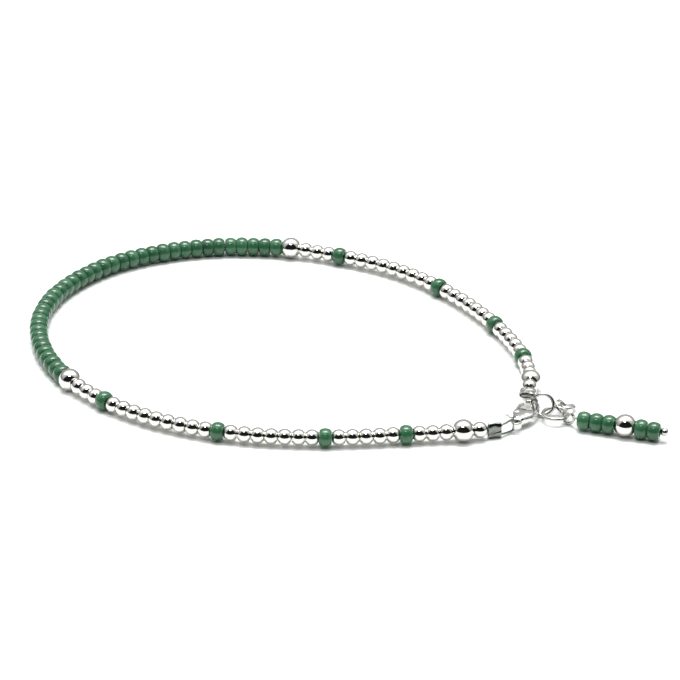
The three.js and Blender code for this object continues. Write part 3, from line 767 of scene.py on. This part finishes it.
# %% The tree that lays a cable
LAY = 2.4
cabling, tree, given = geometry_tree("lay_a_cable", [
    ("Path", "NodeSocketObject"), ("Section", "NodeSocketObject"), ("Lay", "NodeSocketFloat"),
    ("Finish", "NodeSocketMaterial")])
path = tree.value("GeometryNodeObjectInfo", None, {0: given["Path"]}, output="Geometry")
section = tree.value("GeometryNodeObjectInfo", None, {0: given["Section"]}, output="Geometry")
along = tree.value("GeometryNodeSplineParameter", output="Length")
turns = tree.value("ShaderNodeMath", {"operation": "DIVIDE"}, {0: along, 1: given["Lay"]})
smooth = tree.value("GeometryNodeSetCurveNormal", {"mode": "MINIMUM_TWIST"}, {"Curve": path})
twisted = tree.value("GeometryNodeSetCurveTilt", None, {"Curve": smooth, "Tilt": turns * (2 * math.pi)})
swept = tree.value("GeometryNodeCurveToMesh", None, {
    "Curve": twisted, "Profile Curve": section, "Fill Caps": True})
finish_tree(tree, swept, given["Finish"])
print("tree", cabling.name, "has", len(cabling.nodes), "nodes")

# %% Lay the beading wire
STRANDS = 6
POINTS_PER_STRAND = 4
STRAND_VALLEY = 0.90    # depth of the groove between two strands, as a share of the radius
section_line = []
for step in range(STRANDS * POINTS_PER_STRAND):
    angle = 2 * math.pi * step / (STRANDS * POINTS_PER_STRAND)
    ridge = (1 - STRAND_VALLEY) * abs(math.cos(angle * STRANDS / 2))
    radius = WIRE / 2 * (STRAND_VALLEY + ridge)
    section_line.append((radius * math.cos(angle), radius * math.sin(angle), 0.0))
section_path = curve_object("section_path", section_line)
section_path.data.splines[0].use_cyclic_u = True
wire_path = curve_object("wire_path", wire_line + SHIFT)
bpy.context.view_layer.update()
cable = grown("beading_wire_cable", cabling, {
    "Path": wire_path, "Section": section_path, "Lay": LAY * MM, "Finish": wire_metal})
bpy.data.objects.remove(wire_path)
bpy.data.objects.remove(section_path)
keep(cable, "beading_wire")
print("cable faces:", len(cable.data.polygons))

# %% [markdown]
# ## Skins over sections
# Crimps, the clasp's hook and its lever are each a row of sections with a skin between them. The
# helper below is the plain mesh way: it is exact, and a section can change in any way along the piece.

# %% A skin over rings of points
def skin(name, rings, closed=False):
    """Joins rings of equal count. A closed row joins the last ring to the first."""
    sides = len(rings[0])
    points = [tuple(point) for ring in rings for point in ring]
    faces = []
    for row in range(len(rings) if closed else len(rings) - 1):
        here, there = row * sides, (row + 1) % len(rings) * sides
        for side in range(sides):
            beside = (side + 1) % sides
            faces.append((here + side, here + beside, there + beside, there + side))
    if not closed:
        faces.append(tuple(range(sides)))
        faces.append(tuple(range((len(rings) - 1) * sides, len(rings) * sides)))
    mesh = bpy.data.meshes.new(name)
    mesh.from_pydata(points, [], faces)
    outwards(mesh)
    return mesh


def oval(middle, side, up, across, high, sides, power=2.0):
    """One section: an oval, or a rounded square if its power is above two."""
    ring = []
    for step in range(sides):
        angle = 2 * math.pi * (step + 0.5) / sides
        x = squared(math.cos(angle), 2 / power)
        y = squared(math.sin(angle), 2 / power)
        ring.append(middle + side * across * x + up * high * y)
    return ring


print("skins and ovals ready")

# %% [markdown]
# ## Crimps
# A crimp is a short soft tube, squeezed flat on the two strands with pliers. The jaws leave a waist
# across its middle, so the sections narrow there. Its rims are rounded a little, and the jaws' edge has
# pressed one slanting crease into each flat face. The crimp at the clasp's end is painted darker: painted
# shade.

# %% The two crimps
CRIMP_SIDES = 72
CRIMP_STATIONS = 21


def plier_crease(section, centre, place, spread, thin):
    """Presses one slanting crease into both flat faces of a crimp's outer wall."""
    height = (section - centre) @ spread / (CRIMP["height"] / 2)
    side = np.sign((section - centre) @ thin)
    middle = CREASE["level"] + CREASE["slant"] * place
    depth = CREASE["depth"] * np.exp(-(((height - middle) / CREASE["width"]) ** 2))
    return section - (side * depth)[:, None] * thin


def crimp(name, node, middle, along, spread, finish):
    thin = np.cross(along, spread)
    half = CRIMP["length"] / 2
    rows = []
    stations = np.linspace(-1, 1, CRIMP_STATIONS)
    for wall, order in ((0.0, stations), (CRIMP["wall"], stations[::-1])):
        for place in order:
            waist = CRIMP["dent"] * math.exp(-((place / CRIMP["waist"]) ** 2))
            past = max(0.0, (abs(place) - CRIMP["rim_from"]) / (1 - CRIMP["rim_from"]))
            rim = CRIMP["rim"] * past ** 2 * (1 if wall == 0 else -1)
            centre = middle + along * half * place
            section = np.array(oval(
                centre, spread, thin,
                CRIMP["height"] / 2 - wall - rim, CRIMP["thickness"] / 2 - waist - wall - rim,
                CRIMP_SIDES, CRIMP["squareness"]))
            if wall == 0:
                section = plier_crease(section, centre, place, spread, thin)
            rows.append(section)
    piece = new_object(name, skin(name, np.array(rows) * MM, closed=True))
    piece.data.materials.append(finish)
    keep(piece, node)
    return piece


# The crimp by the clasp takes the nearly black metal, which is painted shade.
near_crimp = crimp("near_crimp_pressed", "near_crimp",
                   near_middle + SHIFT, near_along, UP, shaded_crimp_silver)
far_crimp = crimp("far_crimp_pressed", "far_crimp",
                  far_middle + SHIFT, far_along, far_apart, cast_silver)
print("crimp faces:", len(near_crimp.data.polygons), len(far_crimp.data.polygons))

# %% [markdown]
# ## The clasp
# A lobster clasp is cast: a pear-shaped belly runs into a curved hook, and a small barrel ring takes
# the wire. Its corners are all soft. The parts are built as simple skins, a voxel remesh casts them
# into one body, and smoothing melts the joins. Then the lever's slot is cut with a crisp edge.

# %% Outlines of the clasp, as shares of its length and half-width
CLASP = {"length": 7.5, "width": 3.7, "thickness": 1.75, "hook": 1.0, "edge": 0.55, "dome": 0.16}
BELLY_OUTLINE = [
    (0.085, 0.26), (0.19, 0.60), (0.32, 0.88), (0.44, 0.93), (0.53, 0.76), (0.56, 0.30),
    (0.56, -0.30), (0.54, -0.80), (0.44, -0.97), (0.32, -0.88), (0.19, -0.58), (0.085, -0.26),
]
HOOK_LINE = [
    (0.42, -0.66, 0.44), (0.56, -0.78, 0.43), (0.70, -0.77, 0.41), (0.83, -0.61, 0.39),
    (0.92, -0.31, 0.37), (0.953, 0.06, 0.36), (0.93, 0.40, 0.33), (0.895, 0.60, 0.24),
]
LEVER_LINE = [(0.335, 0.44), (0.46, 0.66), (0.60, 0.78), (0.73, 0.78), (0.815, 0.66)]
TAB_LINE = [(0.335, 0.44), (0.235, 0.66), (0.225, 0.98), (0.27, 1.24)]
LEVER = {"thickness": 0.66, "width": 0.62, "clearance": 0.14, "boss": 1.0, "tab": 0.44, "pad": 0.6,
         "pin": 0.6}
SLOT_START, SLOT_END, SLOT_FLOOR = 0.14, 0.68, 0.12


def on_clasp(along, across):
    return np.array([along * CLASP["length"], across * CLASP["width"] / 2, 0.0])


PIVOT = on_clasp(*LEVER_LINE[0])
print("pivot at", PIVOT.round(2), "mm along and across the clasp")


# %% Helpers for castings
DOME_SHARES = (0.8, 0.6, 0.4, 0.2, 0.05)
BAR_POWER = 2.4
BARREL_POWER = 3.5
SLOT_POWER = 12.0       # nearly a rectangle


def pillow(name, outline, thickness, edge, dome):
    """A plate with a full round edge, and faces that rise by a low dome towards the middle."""
    curve = spline([*outline, outline[0]], 6)[:-1]
    middle = curve.mean(axis=0)
    upper = []
    for angle in np.linspace(0.0, math.pi / 2, 7):
        inset = edge * (1 - math.cos(angle))
        height = math.sin(angle) * (thickness / 2 - dome)
        upper.append([point + unit(middle - point) * inset + UP * height for point in curve])
    rim = np.array(upper[-1]) * np.array([1.0, 1.0, 0.0])
    for share in DOME_SHARES:
        height = thickness / 2 - dome * share ** 2
        upper.append(list(middle + (rim - middle) * share + UP * height))
    mirror = np.array([1.0, 1.0, -1.0])
    lower = [[point * mirror for point in row] for row in upper[:0:-1]]
    return skin(name, lower + upper)


def way_at(line, step):
    """The way that a line goes at one of its points."""
    return unit(line[min(step + 1, len(line) - 1)] - line[max(step - 1, 0)])


def bar(name, line, widths, heights, sides=20):
    """A bar with oval sections along a line in the clasp's plane."""
    rows = []
    for step, point in enumerate(line):
        along = way_at(line, step)
        rows.append(oval(point, np.cross(UP, along), UP, widths[step] / 2, heights[step] / 2,
                         sides, BAR_POWER))
    return skin(name, rows)


def barrel(name, middle, outer, bore, height):
    """A short tube with round rims."""
    mid, half = (outer + bore) / 4, (outer - bore) / 4
    rows = []
    for step in range(32):
        angle = 2 * math.pi * step / 32
        outwards_way = np.array([math.cos(angle), math.sin(angle), 0.0])
        rows.append(oval(middle + outwards_way * mid, outwards_way, UP, half, height / 2,
                         16, BARREL_POWER))
    return skin(name, rows, closed=True)


def joined(name, meshes):
    """Several meshes as one."""
    form = bmesh.new()
    for mesh in meshes:
        form.from_mesh(mesh)
    made = bpy.data.meshes.new(name)
    form.to_mesh(made)
    form.free()
    return made


def cast(name, meshes, voxel, smoothing, cuts=()):
    """Melts overlapping skins into one body in millimetres, then makes the cuts."""
    piece = new_object(name, joined(name, meshes))
    remesh = piece.modifiers.new("melt", "REMESH")
    remesh.mode = "VOXEL"
    remesh.voxel_size = voxel
    smooth = piece.modifiers.new("smooth", "SMOOTH")
    smooth.factor = 0.5
    smooth.iterations = smoothing
    tools = []
    for number, cutter in enumerate(cuts):
        tool = new_object(f"{name}_tool_{number}", cutter)
        tools.append(tool)
        cut = piece.modifiers.new(f"cut_{number}", "BOOLEAN")
        cut.operation = "DIFFERENCE"
        cut.solver = "EXACT"
        cut.object = tool
    bpy.context.view_layer.update()
    settle(piece)
    for tool in tools:
        bpy.data.objects.remove(tool)
    return piece


def set_on_clasp(piece, material):
    """Moves a casting from the clasp's own frame to its place, in metres."""
    middle = Vector((END_RING_CENTRE + SHIFT) * MM)
    piece.data.transform(Matrix.Translation(middle) @ clasp_turn @ Matrix.Scale(MM, 4))
    piece.data.materials.clear()
    piece.data.materials.append(material)


print("casting helpers ready")

# %% Cast the clasp's body
BODY_VOXEL = 0.06
LEVER_VOXEL = 0.045
hook_line = spline([on_clasp(along, across) for along, across, _ in HOOK_LINE], 6)
hook_share = np.linspace(0, 1, len(hook_line))
knots = np.linspace(0, 1, len(HOOK_LINE))
hook_widths = np.interp(hook_share, knots, [width * CLASP["width"] / 2 for _, _, width in HOOK_LINE])
hook_heights = CLASP["hook"] * np.interp(hook_share, [0, 0.9, 1], [1, 1, 0.7])
slot_width = LEVER["thickness"] + 2 * LEVER["clearance"]
slot_low = on_clasp(SLOT_START, SLOT_FLOOR)
slot_high = on_clasp(SLOT_END, SLOT_FLOOR + 2)
slot_middle = (slot_low + slot_high) / 2
slot_rows = [oval(np.array([x, slot_middle[1], 0.0]), ALONG_Y, UP,
                  (slot_high[1] - slot_low[1]) / 2, slot_width / 2, 24, SLOT_POWER)
             for x in (slot_low[0], slot_high[0])]
belly = pillow("belly", [on_clasp(*place) for place in BELLY_OUTLINE], CLASP["thickness"],
               CLASP["edge"], CLASP["dome"])
hook = bar("hook", hook_line, hook_widths, hook_heights)
ring_barrel = barrel("barrel", np.zeros(3), END_RING["outer"], END_RING["bore"], END_RING["height"])
clasp_body = cast("clasp_body_cast", [belly, hook, ring_barrel], BODY_VOXEL, 5,
                  [skin("slot", slot_rows)])
set_on_clasp(clasp_body, cast_silver)
keep(clasp_body, "clasp_body")
print("clasp body faces:", len(clasp_body.data.polygons))

# %% [markdown]
# ## The lever
# The lever closes the hook's mouth. It turns on a rivet through the belly, and a tab for the thumb
# stands out on the other side. It is the one piece that moves, so it rides on the body of its own.

# %% Cast the lever
EYE_OVERLAP = 0.2       # the boss starts smaller than the eye, and the eye is then cut to its size
TAB_THINNING = 0.8
PAD_STEPS = [-0.26, -0.12, 0.12, 0.26]
arm_line = spline([on_clasp(*place) for place in LEVER_LINE], 6)
tab_line = spline([on_clasp(*place) for place in TAB_LINE], 6)
arm = bar("arm", arm_line, np.full(len(arm_line), LEVER["width"]),
          np.full(len(arm_line), LEVER["thickness"]))
tab = bar("tab", tab_line, np.full(len(tab_line), LEVER["tab"]),
          np.full(len(tab_line), LEVER["thickness"] * TAB_THINNING))
eye_radius = LEVER["pin"] / 2 + LEVER["clearance"]
boss = barrel("boss", PIVOT, LEVER["boss"], 2 * eye_radius - EYE_OVERLAP, LEVER["thickness"])
pad_middle = on_clasp(*TAB_LINE[-1])
pad_line = pad_middle + np.outer(PAD_STEPS, ALONG_X)
pad_sizes = [LEVER["pad"] / 2, LEVER["pad"], LEVER["pad"], LEVER["pad"] / 2]
pad = bar("pad", pad_line, pad_sizes, pad_sizes)
eye_rows = [oval(PIVOT + UP * z, ALONG_X, ALONG_Y, eye_radius, eye_radius, 24) for z in (-1.0, 1.0)]
lever = cast("clasp_lever_cast", [arm, tab, boss, pad], LEVER_VOXEL, 3, [skin("eye", eye_rows)])
set_on_clasp(lever, cast_silver)
keep(lever, "clasp_lever", "lever")
print("lever faces:", len(lever.data.polygons))

# %% [markdown]
# ## The rivet
# The rivet's two heads are peened into low domes. They belong to the clasp's body, and a shaft between
# them goes through the lever's eye with room to turn.

# %% Rivet: how far each row of a head stands inside the belly's face, and its radius
RIVET_HEAD = [(-0.07, 0.12), (-0.05, 0.30), (0.0, 0.42), (0.16, 0.42), (0.16, 0.30)]
rivet_half = CLASP["thickness"] / 2
rivet_rows = [(-rivet_half + height, radius) for height, radius in RIVET_HEAD]
rivet_rows += [(-height, radius) for height, radius in rivet_rows[::-1]]
rivet_rings = [oval(PIVOT + UP * z, ALONG_X, ALONG_Y, radius, radius, 28) for z, radius in rivet_rows]
rivet = new_object("clasp_rivet", skin("clasp_rivet", rivet_rings))
set_on_clasp(rivet, silver)
outwards(rivet.data)
rivet.data.set_sharp_from_angle(angle=SHARP_ANGLE)
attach(rivet, BODY)
print("rivet faces:", len(rivet.data.polygons))

# %% [markdown]
# ## The head pin
# The drop's beads sit on a pin with a ball at its end. The other end is turned with round pliers into
# a loop of nearly two turns, which hangs on ring B. The loop, the neck and the shaft are one wire.

# %% Head pin
LOOP_TURNS = 1.6
LOOP_END = math.radians(27)
LOOP_TIGHTER = 0.04     # the free end lies this much inside the other
LOOP_STACK = 0.9        # how far one turn lies beside the next, as a share of the wire
loop_radius = (PIN["loop"] - PIN["wire"]) / 2
loop_matrix = ring_matrix(PIN_LOOP_PLACE).to_3x3()
loop_axis = np.array(loop_matrix @ Vector((0, 0, 1)))
loop_across = np.array(loop_matrix @ Vector((0, 1, 0)))
loop_rise = np.cross(loop_axis, loop_across)
loop_middle = middle_of(PIN_LOOP_PLACE)
towards = 1.0 if loop_across @ DROP_ALONG > 0 else -1.0
pin_height = RESTING_GAP + (GREEN_BEAD["diameter"] + LARGE_BALL["diameter"]) / 4
pin_start = np.array([*DROP_START, pin_height])
pin_end = pin_start + DROP_ALONG * (DROP_LENGTH + PIN["ball"] / 2)
loop_line = []
for share in np.linspace(0, 1, 72):
    angle = LOOP_END + 2 * math.pi * LOOP_TURNS * (1 - share)
    radius = loop_radius * (1.0 - LOOP_TIGHTER * (1 - share))
    offset = loop_across * towards * math.cos(angle) + loop_rise * math.sin(angle)
    stacked = loop_axis * PIN["wire"] * (share - 0.9) * LOOP_STACK
    loop_line.append(loop_middle + offset * radius + stacked)
neck = spline([loop_line[-3], loop_line[-1], pin_start, pin_start + DROP_ALONG], 8)[8:]
pin_line = np.vstack([np.array(loop_line), neck[1:], [pin_end]])
print("pin:", round(lengths(pin_line)[-1], 1), "mm of wire")

# %% Skin of the pin and its ball
POLE = 0.04             # the flat end of the ball, in radians
rows = []
side = unit(np.cross(UP, pin_line[1] - pin_line[0]))
for step, point in enumerate(pin_line):
    along = way_at(pin_line, step)
    side = unit(side - along * (side @ along))
    rows.append(oval(point + SHIFT, side, np.cross(along, side), PIN["wire"] / 2, PIN["wire"] / 2, 16))
ball_rows = []
for angle in np.linspace(POLE, math.pi - POLE, 21):
    place = pin_end + SHIFT - DROP_ALONG * math.cos(angle) * PIN["ball"] / 2
    radius = math.sin(angle) * PIN["ball"] / 2
    ball_rows.append(oval(place, np.cross(UP, DROP_ALONG), UP, radius, radius, 28))
headpin = new_object("headpin_turned", joined("headpin_turned", [
    skin("pin", np.array(rows)), skin("pin_ball", np.array(ball_rows))]))
headpin.data.transform(Matrix.Scale(MM, 4))
headpin.data.materials.append(grey_silver)
keep(headpin, "headpin")
print("head pin faces:", len(headpin.data.polygons))

# %% [markdown]
# ## Floor and light
# The photograph has a white ground that runs out of sight. Silver shows the room more than itself: the
# balls are white above, dark in a band where the room stands, and white below, where the ground is.
# So the sky is a grey dome with three things painted on it: a bright panel overhead, a far brighter
# core in that panel, which gives the glints, and a dark room behind the camera. Two soft lamps help.

# %% Floor
FLOOR_HALF = 2
FLOOR_WHITE = (0.93, 0.94, 0.93, 1.0)
floor_corners = [(x * FLOOR_HALF, y * FLOOR_HALF, 0) for x, y in ((-1, -1), (1, -1), (1, 1), (-1, 1))]
floor_mesh = bpy.data.meshes.new("floor")
floor_mesh.from_pydata(floor_corners, [], [(0, 1, 2, 3)])
floor = new_object("floor", floor_mesh)
floor_white, tree = new_material("white_ground")
shader = tree.node("ShaderNodeBsdfPrincipled", None, {
    "Base Color": FLOOR_WHITE, "Roughness": 0.45, "Specular IOR Level": 0.3})
tree.node("ShaderNodeOutputMaterial", None, {"Surface": shader.outputs[0]})
floor_mesh.materials.append(floor_white)
print("floor", 2 * FLOOR_HALF, "m wide")

# %% Sky: a grey dome, a panel overhead with a bright core, and the dark room behind the camera
ROOM_DARK = (0.012, 0.014, 0.014, 1)
ROOM_EDGES = (0.28, 0.42)
DOME_GREYS = [(0.0, 0.14), (0.18, 0.34), (0.5, 0.62), (1.0, 0.72)]
PANEL_BRIGHT = (2.0, 2.0, 1.98, 1)
CORE_BRIGHT = (13.5, 13.8, 13.6, 1)
PANEL_STRETCH = 0.55
PANEL_BACK = 0.22
PANEL_EDGES = (0.26, 0.06)
CORE_EDGES = (0.046, 0.026)
world = bpy.data.worlds.new("studio")
bpy.context.scene.world = world
world.use_nodes = True
world.node_tree.nodes.clear()
tree = Tree(world.node_tree)
direction = tree.value("ShaderNodeTexCoord", output="Generated")
parts = tree.node("ShaderNodeSeparateXYZ", None, {0: direction})
sideways = Value(tree, parts.outputs[0]) * PANEL_STRETCH
towards_room = 0.0 - Value(tree, parts.outputs[1])
from_panel = towards_room + PANEL_BACK
dome = tree.node("ShaderNodeValToRGB", {"stops": [
    (height, (grey, grey, grey, 1)) for height, grey in DOME_GREYS]}, {0: parts.outputs[2]})
away = sideways * sideways + from_panel * from_panel
panel, core = (tree.value("ShaderNodeMapRange", {"interpolation_type": "SMOOTHSTEP"}, {
    0: away, 1: edges[0], 2: edges[1]}) for edges in (PANEL_EDGES, CORE_EDGES))
overhead = tree.value("ShaderNodeMath", {"operation": "GREATER_THAN"}, {0: parts.outputs[2], 1: 0.0})
room = tree.value("ShaderNodeMapRange", {"interpolation_type": "SMOOTHSTEP"}, {
    0: towards_room, 1: ROOM_EDGES[0], 2: ROOM_EDGES[1]})
walls = tree.node("ShaderNodeMix", {"data_type": "RGBA"}, {0: room, 6: dome.outputs[0], 7: ROOM_DARK})
light = tree.node("ShaderNodeMix", {"data_type": "RGBA"}, {0: core, 6: PANEL_BRIGHT, 7: CORE_BRIGHT})
sky = tree.node("ShaderNodeMix", {"data_type": "RGBA"}, {
    0: panel * overhead, 6: walls.outputs[2], 7: light.outputs[2]})
background = tree.node("ShaderNodeBackground", None, {0: sky.outputs[2], 1: 1.0})
tree.node("ShaderNodeOutputWorld", None, {0: background.outputs[0]})
print("steps of grey in the dome:", len(dome.color_ramp.elements))

# %% Lamps
LAMPS = [
    ("key", (-0.10, -0.42, 0.85), (0.30, 0.10), 1.6),
    ("top", (0.25, 0.35, 0.85), (0.50, 0.50), 0.4),
]
for name, place, (wide, deep), power in LAMPS:
    lamp = bpy.data.lights.new(name, "AREA")
    lamp.shape = "RECTANGLE"
    lamp.size = wide
    lamp.size_y = deep
    lamp.energy = power
    holder = new_object(name, lamp)
    holder.location = place
    holder.rotation_euler = (-Vector(place)).to_track_quat("-Z", "Y").to_euler()
bpy.context.scene.view_settings.view_transform = "Standard"
print("lamps:", len(LAMPS))
